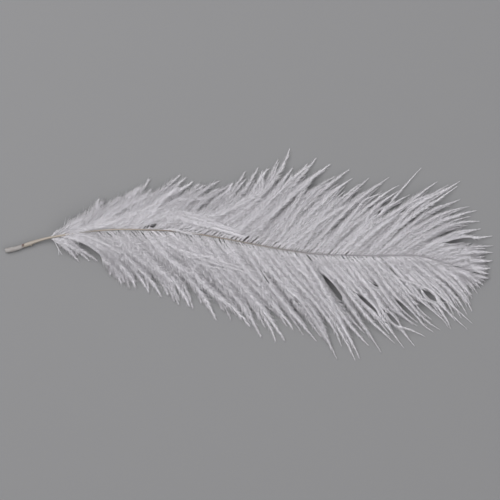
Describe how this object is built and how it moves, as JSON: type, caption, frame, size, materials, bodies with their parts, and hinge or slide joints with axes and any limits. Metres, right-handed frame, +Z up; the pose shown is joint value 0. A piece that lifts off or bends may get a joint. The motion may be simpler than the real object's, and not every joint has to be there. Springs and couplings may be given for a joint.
{
  "type": "ostrich feather",
  "caption": "Loose ostrich plume lying flat: a slim quill with its dry root skin, a curved shaft and soft open barbs on both sides.",
  "frame": {"origin": "on the surface the feather lies on, under the middle of its box", "axes": "+X from the root of the quill to the tip of the feather, +Y to the left vane, +Z up from the surface"},
  "size_m": [0.25, 0.109, 0.0102],
  "materials": {
    "quill": "satin horn, cream at the quill and tan along the rachis",
    "root_skin": "dry, chalky, torn skin",
    "down": "soft white barbs with loose barbules"
  },
  "bodies": {
    "root": {"shaft": "quill", "root_sheath": "root_skin", "left_vane": "down", "right_vane": "down", "right_base_down": "down"}
  },
  "joints": []
}
